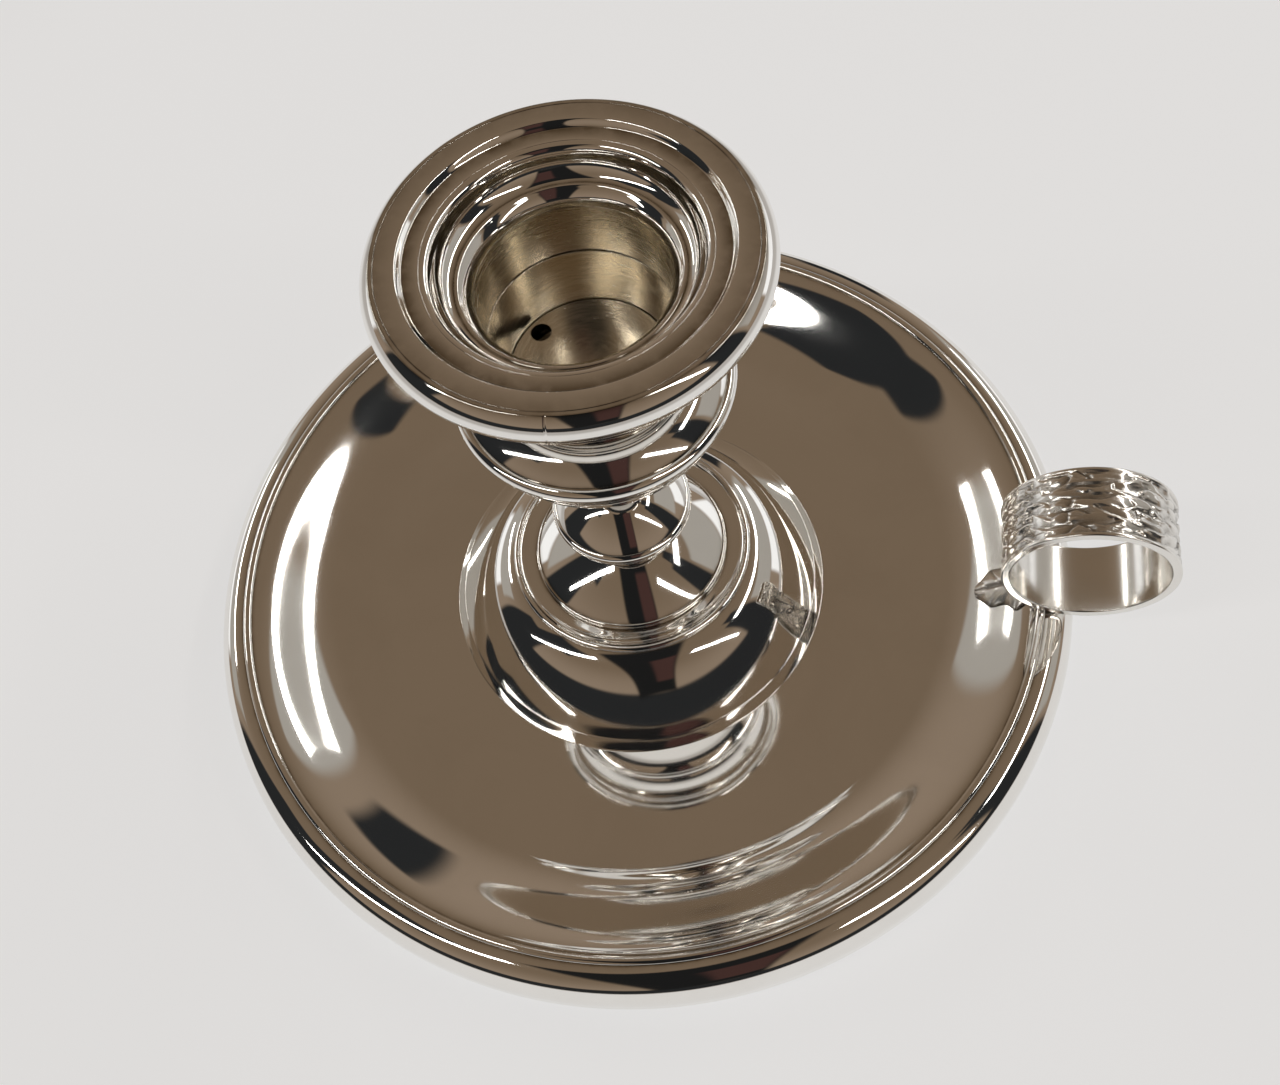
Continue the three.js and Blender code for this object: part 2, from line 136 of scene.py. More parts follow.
# a silver finish: the wear group and a fine bump on a plain metal shader
def makeSilver(name, values):
    material = bpy.data.materials.new(name)
    material.use_nodes = True
    tree = material.node_tree
    shader = tree.nodes["Principled BSDF"]
    shader.inputs["Metallic"].default_value = 1.0
    seam = addNode(tree, "ShaderNodeAttribute", attribute_name="seam").outputs["Fac"]
    wear = addNode(tree, "ShaderNodeGroup", node_tree=silverWear)
    tree.links.new(seam, wear.inputs["Seam"])
    for socket in ("Smudge", "Turning", "Rough Low", "Rough High", "Clean", "Tarnish"):
        wear.inputs[socket].default_value = values[socket]
    bump = addNode(tree, "ShaderNodeBump", {"Height": wear.outputs["Height"],
                                            "Strength": values["bump"], "Distance": values["bumpDeep"] * mm})
    tree.links.new(wear.outputs["Color"], shader.inputs["Base Color"])
    tree.links.new(wear.outputs["Roughness"], shader.inputs["Roughness"])
    tree.links.new(bump.outputs[0], shader.inputs["Normal"])
    return material


silverFinishes = {
    "polished": {"Smudge": 0.6, "Turning": 0.25, "Rough Low": 0.04, "Rough High": 0.085, "bump": 0.02,
                 "bumpDeep": 0.01, "Clean": (0.90, 0.885, 0.855, 1), "Tarnish": (0.30, 0.26, 0.20, 1)},
    "turned": {"Smudge": 0.5, "Turning": 0.9, "Rough Low": 0.2, "Rough High": 0.34, "bump": 0.35,
               "bumpDeep": 0.02, "Clean": (0.78, 0.725, 0.62, 1), "Tarnish": (0.24, 0.20, 0.14, 1)},
    "chased": {"Smudge": 0.7, "Turning": 0.2, "Rough Low": 0.14, "Rough High": 0.26, "bump": 0.1,
               "bumpDeep": 0.02, "Clean": (0.86, 0.84, 0.80, 1), "Tarnish": (0.10, 0.085, 0.065, 1)},
}
polishedSilver = makeSilver("polishedSilver", silverFinishes["polished"])
turnedSilver = makeSilver("turnedSilver", silverFinishes["turned"])
chasedSilver = makeSilver("chasedSilver", silverFinishes["chased"])


# outside radius, lowest and highest point of a turned node
def levels(node):
    low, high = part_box(node)
    return high.x / mm, low.z / mm, high.z / mm


def bezier(start, leave, arrive, end, steps=24):
    t = np.linspace(0, 1, steps + 1)[:, None]
    start, leave, arrive, end = (np.array(p, float) for p in (start, leave, arrive, end))
    return [tuple(p) for p in (1 - t) ** 3 * start + 3 * (1 - t) ** 2 * t * leave
            + 3 * (1 - t) * t ** 2 * arrive + t ** 3 * end]


def halfRound(root, low, high, reach, steps=14):
    turns = np.linspace(-math.pi / 2, math.pi / 2, steps + 1)
    return [(root + reach * math.cos(a), (low + high) / 2 + (high - low) / 2 * math.sin(a)) for a in turns]


# the same line moved to the left of its direction
def sideLine(points, distance):
    line = np.array(points, float)
    along = np.gradient(line, axis=0)
    along /= np.linalg.norm(along, axis=1)[:, None]
    return [tuple(p) for p in line + distance * np.stack([-along[:, 1], along[:, 0]], 1)]


# small worn radius on every sharp corner, with points that keep the flats beside it flat
def easeCorners(outline, reach=0.1, limit=30.0, share=0.4, beside=1.8, steps=5, tiny=1e-6):
    line = [np.array(p, float) for i, p in enumerate(outline)
            if i == 0 or math.dist(p, outline[i - 1]) > tiny]
    eased = []
    for i, point in enumerate(line):
        before, after = line[i - 1] - point, line[(i + 1) % len(line)] - point
        a, b = np.linalg.norm(before), np.linalg.norm(after)
        bend = 180 - math.degrees(math.acos(np.clip(before @ after / (a * b), -1, 1)))
        if bend < limit or point[0] < tiny:
            eased.append(tuple(point))
            continue
        start = point + before / a * min(reach, a * share)
        end = point + after / b * min(reach, b * share)
        if a > reach * 4:
            eased.append(tuple(point + before / a * reach * beside))
        for t in np.linspace(0, 1, steps):
            eased.append(tuple((1 - t) ** 2 * start + 2 * t * (1 - t) * point + t ** 2 * end))
        if b > reach * 4:
            eased.append(tuple(point + after / b * reach * beside))
    return eased


def finishPiece(piece, body, finish, *nodes):
    piece.data.materials.clear()
    piece.data.materials.append(finish)
    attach(piece, body)
    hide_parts(*nodes)


# joins points that lie closer than the given distance and turns all faces outwards
def cleanMesh(mesh, mergeWithin=0.0):
    work = bmesh.new()
    work.from_mesh(mesh)
    if mergeWithin:
        bmesh.ops.remove_doubles(work, verts=work.verts, dist=mergeWithin)
    bmesh.ops.recalc_face_normals(work, faces=work.faces)
    work.to_mesh(mesh)
    work.free()


def pieceFromMesh(name, mesh):
    for face in mesh.polygons:
        face.use_smooth = True
    piece = bpy.data.objects.new(name, mesh)
    scene.collection.objects.link(piece)
    return piece


seamReach = 0.22  # how far tarnish spreads from a seam


# spins a closed outline round the stem, and marks how near each point lies to a seam
def turnPiece(node, outline, seams=(), finish=polishedSilver, body="holder", sides=192,
              extraTurns=(), carve=None):
    radius, low, high = levels(node)
    line = np.array(easeCorners(outline))
    line[:, 0] = np.minimum(line[:, 0], radius)
    line[:, 1] = np.clip(line[:, 1], low, high)
    turns = np.sort(np.concatenate([np.arange(sides) * 2 * math.pi / sides, np.array(extraTurns, float)]))
    reach = np.repeat(line[None, :, 0], len(turns), 0)
    height = np.repeat(line[None, :, 1], len(turns), 0)
    if carve:
        reach, height = carve(turns[:, None], reach, height)
    spots = np.stack([reach * np.cos(turns)[:, None], reach * np.sin(turns)[:, None], height], -1)
    rows, columns = spots.shape[:2]
    faces = []
    for i in range(rows):
        j = (i + 1) % rows
        for k in range(columns):
            m = (k + 1) % columns
            faces.append((i * columns + k, j * columns + k, j * columns + m, i * columns + m))
    mesh = bpy.data.meshes.new(node + "_turned")
    mesh.from_pydata((spots.reshape(-1, 3) * mm).tolist(), [], faces)
    near = np.zeros(columns)
    for seam in seams:
        near = np.maximum(near, np.exp(-np.hypot(*(line - np.array(seam)).T) / seamReach))
    shade = mesh.attributes.new("seam", "FLOAT", "POINT")
    shade.data.foreach_set("value", np.tile(near, rows).astype(np.float32))
    cleanMesh(mesh, 1e-8)
    finishPiece(pieceFromMesh("silver_" + node, mesh), body, finish, node)


# dish: floor that falls gently away from the foot, ogee wall, crest and turned-over skirt
# leave and arrive values are shares of the width or height that a curve spans
dishValues = {"sheet": 1.0, "collarRadius": 26.6, "collarHeight": 3.4, "flankDrop": 1.5, "flankLean": 0.8,
              "floorRise": 1.0, "floorBend": 0.05, "floorLeave": 0.52, "floorArrive": 0.24,
              "wallWidth": 13.4, "wallLeave": 0.36, "wallLift": 0.5, "wallArrive": 0.82,
              "rollWidth": 5.2, "rollLeave": 0.7, "rollArrive": 0.45, "skirtDrop": 5.8,
              "wireWidth": 1.3, "rimRadius": 64.2, "sides": 288, "floorSteps": 48, "wallSteps": 48, "rollSteps": 28}


# ogee wall of the dish, from the floor up to the crest
def wallLine(values, steps):
    crest = levels("dish")[2]
    land = values["rimRadius"] - values["rollWidth"] - values["wireWidth"] / 2
    wide, rise = values["wallWidth"], values["floorRise"]
    floorEdge, floorTop = land - wide, values["sheet"] + rise
    return bezier((floorEdge, floorTop), (floorEdge + wide * values["wallLeave"], floorTop + rise * values["wallLift"]),
                  (floorEdge + wide * values["wallArrive"], crest), (land, crest), steps)


def makeDish(values):
    sheet = values["sheet"]
    wall = wallLine(values, values["wallSteps"])
    (floorEdge, floorTop), (land, crest) = wall[0], wall[-1]
    roll = land + values["wireWidth"]
    collar, collarTop = values["collarRadius"], sheet + values["collarHeight"]
    skirt = crest - values["skirtDrop"]
    begin, level = collar + values["flankDrop"] * values["flankLean"], collarTop - values["flankDrop"]
    span, fall = floorEdge - begin, level - floorTop
    floor = [(collar, collarTop)] + bezier(
        (begin, level), (begin + span * values["floorLeave"], level - fall * values["floorBend"]),
        (floorEdge - span * values["floorArrive"], floorTop), (floorEdge, floorTop), values["floorSteps"])[:-1]
    rollWide = values["rimRadius"] - roll
    rolled = bezier((roll, crest), (roll + rollWide * values["rollLeave"], crest),
                    (values["rimRadius"] + sheet * 0.1, crest - values["skirtDrop"] * values["rollArrive"]),
                    (values["rimRadius"] - sheet * 0.2, skirt), values["rollSteps"])
    over = wall + rolled
    under = sideLine(over, -sheet)
    under[-1] = (under[-1][0], skirt)
    outline = ([(0, sheet), (collar - sheet * 2, sheet), (collar - sheet * 1.3, collarTop)] + floor + over
               + under[::-2] + [(floorEdge - values["floorRise"] * 2, 0), (0, 0)])
    turnPiece("dish", outline, [(land, crest), (roll, crest)], sides=values["sides"])


makeDish(dishValues)

# half-round wire along the crest
wireValues = {"sides": 288, "steps": 17}


def makeRimWire(values, dish):
    crest, top = levels("rim_wire")[1:]
    middle = dish["rimRadius"] - dish["rollWidth"]
    half = dish["wireWidth"] / 2
    arc = [(middle + half * math.cos(a), crest + (top - crest) * math.sin(a))
           for a in np.linspace(0, math.pi, values["steps"])]
    turnPiece("rim_wire", arc, [arc[0], arc[-1]], sides=values["sides"])


makeRimWire(wireValues, dishValues)
print("dish and rim wire turned")


# side of a raised shell, with the two handles of its curve as shares of its width and height
def domeLine(outer, inner, low, high, curve, steps):
    wide, tall = outer - inner, high - low
    leaveIn, leaveUp, arriveOut, arriveUp = curve
    return bezier((outer, low), (outer - wide * leaveIn, low + tall * leaveUp),
                  (inner + wide * arriveOut, low + tall * arriveUp), (inner, high), steps)


# raised shell with a flat shoulder and a bore
def turnDome(node, outside, bore, sheet=1.0, seams=True):
    foot, top = outside[0], outside[-1][1]
    inside = [p for p in sideLine(outside, sheet) if foot[1] + sheet * 0.2 < p[1] < top - sheet * 1.2][::3]
    outline = outside + [(bore, top), (bore, top - sheet)] + inside[::-1] + [(foot[0] - sheet * 1.3, foot[1])]
    turnPiece(node, outline, [foot, outside[-1]] if seams else [outside[-1]])


def turnMoulding(node, bore, root, reach):
    low, high = levels(node)[1:]
    edge = halfRound(root, low, high, reach)
    turnPiece(node, edge + [(bore, high), (bore, low)], [edge[0], edge[-1]])


# foot, upper dome, knop and neck, stacked with thin fillets between them
stemValues = {"shoulder": 17.0, "ringReach": 0.35, "dome": 13.4, "waist": 6.2, "knop": 9.1, "neck": 3.6,
              "filletReach": 0.5, "rimReach": 0.9, "sheet": 1.0, "footCurve": (0.54, 0.75, 0.34, 0.9),
              "domeCurve": (0.22, 0.3, 0.4, 0.72), "knopCurve": (0.2, 0.32, 0.42, 0.8),
              "footSteps": 60, "domeSteps": 40, "knopSteps": 36}


def makeStem(values, dish):
    sheet, shoulder, dome = values["sheet"], values["shoulder"], values["dome"]
    waist, knop, neck = values["waist"], values["knop"], values["neck"]
    collar = dish["collarRadius"]
    low, high = levels("foot_dome")[1:]
    bore = dome - sheet * 1.5
    turnDome("foot_dome", domeLine(collar, shoulder, low, high, values["footCurve"], values["footSteps"]),
             bore, seams=False)
    low, high = levels("foot_ring")[1:]
    ledge, coveEdge = levels("dome_fillet")[1], dome + values["filletReach"]
    coveWide = shoulder - coveEdge
    edge = halfRound(shoulder - values["ringReach"], low, high, values["ringReach"] * 2)
    cove = bezier((shoulder - coveWide * 0.2, (ledge + high) / 2), (shoulder - coveWide * 0.4, ledge),
                  (shoulder - coveWide * 0.5, ledge), (coveEdge, ledge), 12)
    turnPiece("foot_ring", edge + cove + [(bore, ledge), (bore, low)], [edge[0], cove[-1]])
    turnMoulding("dome_fillet", bore, dome, values["filletReach"])
    low, high = levels("upper_dome")[1:]
    waistBore = waist - sheet * 1.6
    turnDome("upper_dome", domeLine(dome, waist, low, high, values["domeCurve"], values["domeSteps"]), waistBore)
    low, high = levels("knop_collar")[1:]
    tall = high - low
    side = bezier((waist, low), (waist, low + tall * 0.5), (waist, low + tall * 0.6),
                  (knop - values["filletReach"], high), 14)
    turnPiece("knop_collar", side + [(waistBore, high), (waistBore, low)], [side[0], side[-1]])
    turnMoulding("knop_fillet", waistBore, knop - values["filletReach"], values["filletReach"])
    turnMoulding("knop_rim", waistBore, knop - values["rimReach"] / 3, values["rimReach"])
    low, high = levels("knop")[1:]
    neckBore = neck - sheet * 1.6
    turnDome("knop", domeLine(knop, neck, low, high, values["knopCurve"], values["knopSteps"]), neckBore)
    low, high = levels("stem_neck")[1:]
    tall = high - low
    side = bezier((neck, low), (neck - sheet * 0.4, low + tall * 0.4), (neck, low + tall * 0.75),
                  (neck + sheet, high), 18)
    turnPiece("stem_neck", side + [(neckBore, high), (neckBore, low)], [side[0], side[-1]])


makeStem(stemValues, dishValues)
print("stem turned")


# socket: cup, mouldings, bulge, flare and mouth ring
socketValues = {"bulge": 16.3, "lip": 20.6, "lipWide": 2.2, "tubeOuter": 11.7, "tubeTaper": 1.2, "clearance": 0.3,
                "filletReach": 0.5, "rimReach": 1.17, "sheet": 1.0, "bulgeCurve": (0.19, 0.36, 0.45, 0.85),
                "bulgeSteps": 36}


def makeSocket(values, stem):
    sheet, bulge = values["sheet"], values["bulge"]
    mouth, neckBore = stem["neck"] + sheet, stem["neck"] - sheet * 1.6
    low, high = levels("socket_base")[1:]
    tall = high - low
    outside = bezier((mouth, low), (mouth + (bulge - mouth) * 0.4, low + tall * 0.3),
                     (bulge - sheet, low + tall * 0.5), (bulge, high), 24)
    inside = [p for p in sideLine(outside, sheet) if p[1] > low + sheet * 1.2][::2]
    inside[-1] = (inside[-1][0], high)
    turnPiece("socket_base", outside + inside[::-1] + [(neckBore, low + sheet), (neckBore, low)],
              [outside[0], outside[-1]])
    rimBore = bulge - sheet * 2
    turnMoulding("socket_fillet", rimBore, bulge - values["filletReach"] / 2, values["filletReach"])
    turnMoulding("socket_rim", rimBore, bulge, values["rimReach"])
    low, high = levels("socket_bulge")[1:]
    tubeLow, tubeHigh = levels("candle_tube")[1:]
    narrower = values["tubeTaper"] * (tubeHigh - high) / (tubeHigh - tubeLow)
    tubeGap = values["tubeOuter"] - narrower + values["clearance"]
    flare = tubeGap + sheet
    turnDome("socket_bulge", domeLine(bulge, flare, low, high, values["bulgeCurve"], values["bulgeSteps"]), tubeGap)
    low = levels("socket_flare")[1]
    lipLow, lipHigh = levels("socket_lip")[1:]
    tall, lip, wide = lipLow - low, values["lip"], values["lipWide"]
    flareMouth = lip - wide
    outside = bezier((flare, low), (flare + values["tubeTaper"] * 0.9, low + tall * 0.6),
                     (flare + (flareMouth - flare) * 0.35, lipLow - sheet * 0.5), (flareMouth + wide * 0.6, lipLow), 28)
    inside = sideLine(outside, sheet)[::2]
    inside[0], inside[-1] = (tubeGap, low), (flareMouth, lipLow)
    turnPiece("socket_flare", outside + inside[::-1], [outside[0], outside[-1]])
    tall = lipHigh - lipLow
    side = bezier((lip - sheet * 0.3, lipLow + sheet * 0.2), (lip, lipLow + tall * 0.3),
                  (lip, lipLow + tall * 0.7), (lip - sheet * 0.6, lipHigh), 14)
    turnPiece("socket_lip", [(flareMouth, lipLow), (lip - sheet * 0.5, lipLow)] + side + [(flareMouth, lipHigh)],
              [side[-1]])


makeSocket(socketValues, stemValues)

# tapered candle tube, and its floor with a vent hole at the edge
tubeValues = {"mouth": 11.0, "floor": 9.8, "wall": 0.7, "sheet": 1.0, "vent": 1.3, "ventInset": 0.5,
              "ventTurn": 146.6, "steps": 24, "floorSides": 96, "ventSides": 40, "sharpAngle": 35.0}


def makeTube(values):
    low, high = levels("candle_tube")[1:]
    mouth, floor, wall, sheet = values["mouth"], values["floor"], values["wall"], values["sheet"]
    inner = [(floor + (mouth - floor) * s, low + sheet + (high - low - sheet) * s)
             for s in np.linspace(0, 1, values["steps"])]
    turnPiece("candle_tube", inner + [(mouth + wall, high), (floor + wall, low), (floor, low)],
              [inner[0]], turnedSilver)


def makeTubeFloor(values):
    low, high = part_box("tube_floor")
    reach = high.x
    vent = values["vent"] * mm
    out = (values["floor"] - values["ventInset"] - values["vent"]) * mm
    turn = math.radians(values["ventTurn"])
    ventSpot = Vector((out * math.cos(turn), out * math.sin(turn), 0))
    work = bmesh.new()
    loops = []
    for height in (high.z, low.z):
        for middle, radius, count in ((Vector(), reach, values["floorSides"]),
                                      (ventSpot, vent, values["ventSides"])):
            loops.append([work.verts.new(middle + Vector((radius * math.cos(a), radius * math.sin(a), height)))
                          for a in (2 * math.pi * k / count for k in range(count))])
    for first, second in ((0, 1), (2, 3)):
        edges = [work.edges.new((ring[k - 1], ring[k])) for ring in (loops[first], loops[second])
                 for k in range(len(ring))]
        bmesh.ops.triangle_fill(work, edges=edges, use_beauty=True)
    for upper, lower in ((loops[0], loops[2]), (loops[1], loops[3])):
        for k in range(len(upper)):
            work.faces.new((upper[k - 1], upper[k], lower[k], lower[k - 1]))
    bmesh.ops.recalc_face_normals(work, faces=work.faces)
    mesh = bpy.data.meshes.new("tube_floor_disc")
    work.to_mesh(mesh)
    work.free()
    piece = pieceFromMesh("silver_tube_floor", mesh)
    mesh.set_sharp_from_angle(angle=math.radians(values["sharpAngle"]))
    finishPiece(piece, "holder", turnedSilver, "tube_floor")


makeTube(tubeValues)
makeTubeFloor(tubeValues)
print("socket and candle tube turned")


# nozzle: band, stepped flange, throat and sleeve, with curve handles as shares of the sheet
nozzleValues = {"band": 23.2, "stepInset": 4.8, "stepDeep": 0.8, "throat": 15.2, "bead": 12.8, "candle": 11.0,
                "taper": 1.2, "tubeOuter": 11.7, "sheet": 1.0, "seamTurn": -87.9, "seamWide": 0.35, "seamDeep": 0.09,
                "seamInset": 0.1, "seamCuts": (-1.4, -1, -0.5, 0.01, 0.5, 1, 1.4)}


def makeNozzle(values):
    sheet, band, throat, bead = values["sheet"], values["band"], values["throat"], values["bead"]
    low, high = levels("nozzle_band")[1:]
    tall, ledge = high - low, high - sheet
    step, flange = band - values["stepInset"], band - sheet * 2.1
    inner = step + values["stepDeep"] * 1.25
    side = bezier((band - sheet * 0.7, low + tall * 0.1), (band + sheet * 0.15, low + tall * 0.35),
                  (band + sheet * 0.15, low + tall * 0.7), (flange + sheet * 0.5, high), 26)
    seamAt, seamHalf = math.radians(values["seamTurn"]) % (2 * math.pi), values["seamWide"] / band / 2

    # butt joint of the bent band: a thin cut on its outside
    def cutSeam(turns, reach, height):
        cut = np.clip(1 - np.abs(turns - seamAt) / seamHalf, 0, 1) * values["seamDeep"]
        return np.where(reach > flange + values["seamInset"], reach - cut, reach), height

    turnPiece("nozzle_band", [(inner, low), (band - sheet * 1.7, low)] + side
              + [(flange, high), (flange, ledge), (inner, ledge)],
              [side[-1], (flange, high), side[0]], body="nozzle",
              extraTurns=[seamAt + seamHalf * k for k in values["seamCuts"]], carve=cutSeam)
    deep, stepTop, bore = values["stepDeep"], high - values["stepDeep"], throat + sheet
    riser = bezier((step + deep / 2, high), (step + deep * 0.15, high), (step - deep * 0.15, stepTop),
                   (step - deep / 2, stepTop), 10)
    turnPiece("nozzle_flange", [(flange, ledge), (flange, high)] + riser + [
        (bore, stepTop), (bore, stepTop - sheet), (step - deep / 4, stepTop - sheet), (step + deep, ledge)],
        [(flange, high), riser[-1]], body="nozzle")
    sleeveTop = levels("nozzle_sleeve")[2]
    beadTop = low + sheet * 0.2
    mouth = values["candle"] + values["taper"] * 0.2
    funnel = bezier((values["candle"] + values["taper"] * 0.25, sleeveTop + sheet * 0.4),
                    (values["candle"] + values["taper"] * 0.4, beadTop - sheet),
                    (bead - sheet * 0.8, beadTop - sheet * 0.5), (bead - sheet * 0.4, beadTop - sheet * 0.2), 10)
    beadLine = bezier((bead - sheet * 0.3, beadTop - sheet * 0.1), (bead - sheet * 0.1, beadTop + sheet * 0.05),
                      (bead + sheet * 0.15, beadTop), (bead + sheet * 0.3, beadTop - sheet * 0.2), 8)
    cove = bezier((bead + sheet * 0.6, beadTop - sheet * 0.1), (throat - sheet * 0.9, beadTop + sheet * 0.3),
                  (throat - sheet * 0.4, beadTop + sheet * 1.2), (throat - sheet * 0.2, stepTop - sheet * 1.1), 16)
    brim = bezier((throat, stepTop - sheet * 0.6), (throat + sheet * 0.15, stepTop - sheet * 0.2),
                  (throat + sheet * 0.5, stepTop), (bore, stepTop), 12)
    upper = [(mouth, sleeveTop)] + funnel + beadLine + cove + brim
    under = sideLine(upper, -sheet * 0.8)[::3]
    under[0], under[-1] = (values["tubeOuter"], sleeveTop), (bore, stepTop - sheet * 0.8)
    turnPiece("nozzle_throat", upper + under[::-1], [upper[0], *beadLine[-2:]], body="nozzle")
    low = levels("nozzle_sleeve")[1]
    turnPiece("nozzle_sleeve", [(values["candle"], low), (values["tubeOuter"], low), (values["tubeOuter"], sleeveTop),
                                (mouth, sleeveTop)], [(mouth, sleeveTop)], turnedSilver, "nozzle")


makeNozzle(nozzleValues)
print("nozzle turned")


# finger ring: a rail circle with a flat band profile, carved like bark between two plain lips
# names with a capital are inputs of the node tree
ringValues = {"Radius": 11.77, "Wall": 1.25, "Width": 10.4, "Lip": 0.8, "Depth": 0.55, "Ridges": 2.3,
              "Slant": 6.0, "Seed": 7.0, "railSteps": 300, "bandSteps": 150, "wornShare": 0.16, "wornSteps": 4,
              "wanderScale": 2.6, "wanderTurn": 5.0, "strokeAlong": 1.4, "strokeAcross": 2.6, "strokeScale": 1.5,
              "strokeDetail": 1.6, "strokeGrain": 0.4, "strokeTurn": 2.4, "patchScale": 2.3, "lap": 0.2,
              "fadeSpan": (0.35, 0.6), "fadeLow": 0.45, "flatSpan": (0.35, 0.65), "flatShare": 0.25,
              "grooveCurve": 1.5, "grooveDark": 0.85, "skin": (-0.3, -0.1), "lipSoft": 0.35}


def buildRingTree(values):
    tree = bpy.data.node_groups.new("fingerRing", "GeometryNodeTree")
    face = tree.interface
    for name in ("Radius", "Wall", "Width", "Lip", "Depth", "Ridges", "Slant", "Seed"):
        face.new_socket(name, in_out="INPUT", socket_type="NodeSocketFloat")
    face.new_socket("Finish", in_out="INPUT", socket_type="NodeSocketMaterial")
    face.new_socket("Geometry", in_out="OUTPUT", socket_type="NodeSocketGeometry")
    given = addNode(tree, "NodeGroupInput").outputs
    middle = doMath(tree, "MULTIPLY_ADD", given["Wall"], -0.5, given["Radius"])
    rail = addNode(tree, "GeometryNodeCurvePrimitiveCircle",
                   {"Resolution": values["railSteps"], "Radius": middle}).outputs[0]
    band = addNode(tree, "GeometryNodeCurvePrimitiveQuadrilateral",
                   {"Width": given["Wall"], "Height": given["Width"]}).outputs[0]
    worn = addNode(tree, "GeometryNodeFilletCurve",
                   {"Curve": band, "Radius": doMath(tree, "MULTIPLY", given["Wall"], values["wornShare"]),
                    "Count": values["wornSteps"]}, mode="POLY").outputs[0]
    fine = addNode(tree, "GeometryNodeResampleCurve", {"Curve": worn, "Count": values["bandSteps"]}).outputs[0]
    swept = addNode(tree, "GeometryNodeCurveToMesh", {"Curve": rail, "Profile Curve": fine}).outputs[0]
    place = addNode(tree, "GeometryNodeInputPosition").outputs[0]
    axis = addNode(tree, "ShaderNodeSeparateXYZ", {0: place}).outputs
    out, turn = roundAxis(tree, axis)
    half = doMath(tree, "MULTIPLY", given["Width"], 0.5)
    barkHalf = doMath(tree, "SUBTRACT", half, given["Lip"])
    side = doMath(tree, "DIVIDE", axis[2], barkHalf)
    # long strokes: ridges across the band that wander, split and end as they run round it
    east, north = doMath(tree, "COSINE", turn), doMath(tree, "SINE", turn)
    slow = addNode(tree, "ShaderNodeCombineXYZ", {0: east, 1: north, 2: given["Seed"]}).outputs[0]
    wander = addNode(tree, "ShaderNodeTexNoise",
                     {"Vector": slow, "Scale": values["wanderScale"], "Detail": 1.0}).outputs[0]
    strokePlace = addNode(tree, "ShaderNodeCombineXYZ",
                          {0: doMath(tree, "MULTIPLY", east, values["strokeAlong"]),
                           1: doMath(tree, "MULTIPLY", north, values["strokeAlong"]),
                           2: doMath(tree, "MULTIPLY_ADD", side, values["strokeAcross"], given["Seed"])}).outputs[0]
    strokes = addNode(tree, "ShaderNodeTexNoise",
                      {"Vector": strokePlace, "Scale": values["strokeScale"], "Detail": values["strokeDetail"],
                       "Roughness": values["strokeGrain"]}).outputs[0]
    # patches of strokes that lean one way or the other, so that they overlap and end on each other
    patchPlace = addNode(tree, "ShaderNodeCombineXYZ", {0: north, 1: east, 2: side}).outputs[0]
    patch = addNode(tree, "ShaderNodeTexNoise",
                    {"Vector": patchPlace, "Scale": values["patchScale"], "Detail": 1.0}).outputs[0]
    lay = doMath(tree, "SUBTRACT", doMath(tree, "MULTIPLY", doMath(tree, "GREATER_THAN", patch, 0.5), 2.0), 1.0)
    slant = doMath(tree, "MULTIPLY", turn, doMath(tree, "MULTIPLY", lay, given["Slant"]))
    across = doMath(tree, "MULTIPLY", side, doMath(tree, "MULTIPLY", given["Ridges"], math.pi))
    phase = doMath(tree, "MULTIPLY_ADD", wander, values["wanderTurn"], doMath(tree, "ADD", across, slant))
    bent = doMath(tree, "MULTIPLY_ADD", strokes, values["strokeTurn"], phase)
    tooth = doMath(tree, "FRACT", doMath(tree, "DIVIDE", bent, math.pi))
    lean = doMath(tree, "DIVIDE", tooth, 1 - values["lap"])
    lap = doMath(tree, "DIVIDE", doMath(tree, "SUBTRACT", 1.0, tooth), values["lap"])
    fading = remap(tree, wander, *values["fadeSpan"], values["fadeLow"], 1.0)
    shingle = doMath(tree, "MULTIPLY", doMath(tree, "MINIMUM", lean, lap), fading)
    groove = doMath(tree, "POWER", shingle, values["grooveCurve"])
    flat = remap(tree, strokes, *values["flatSpan"])
    deep = doMath(tree, "MULTIPLY_ADD", shingle, 1 - values["flatShare"],
                  doMath(tree, "MULTIPLY", flat, values["flatShare"]))
    skin = [doMath(tree, "MULTIPLY_ADD", given["Wall"], share, given["Radius"]) for share in values["skin"]]
    onOutside = remap(tree, out, *skin)
    inBark = remap(tree, doMath(tree, "ABSOLUTE", axis[2]), barkHalf,
                   doMath(tree, "MULTIPLY_ADD", given["Lip"], values["lipSoft"], barkHalf), 1.0, 0.0, soft=True)
    mask = doMath(tree, "MULTIPLY", onOutside, inBark)
    carved = doMath(tree, "MULTIPLY", deep, mask)
    inward = doMath(tree, "MULTIPLY", doMath(tree, "MULTIPLY", carved, given["Depth"]), -1.0)
    shift = addNode(tree, "ShaderNodeCombineXYZ",
                    {0: doMath(tree, "MULTIPLY", east, inward), 1: doMath(tree, "MULTIPLY", north, inward)}).outputs[0]
    shade = addNode(tree, "GeometryNodeStoreNamedAttribute",
                    {"Geometry": swept, "Name": "seam",
                     "Value": doMath(tree, "MULTIPLY", doMath(tree, "MULTIPLY", groove, mask), values["grooveDark"])},
                    data_type="FLOAT", domain="POINT").outputs[0]
    moved = addNode(tree, "GeometryNodeSetPosition", {"Geometry": shade, "Offset": shift}).outputs[0]
    whole = addNode(tree, "GeometryNodeRealizeInstances", {0: moved}).outputs[0]
    done = addNode(tree, "GeometryNodeSetMaterial", {"Geometry": whole, "Material": given["Finish"]}).outputs[0]
    addNode(tree, "NodeGroupOutput", {"Geometry": done})
    return tree


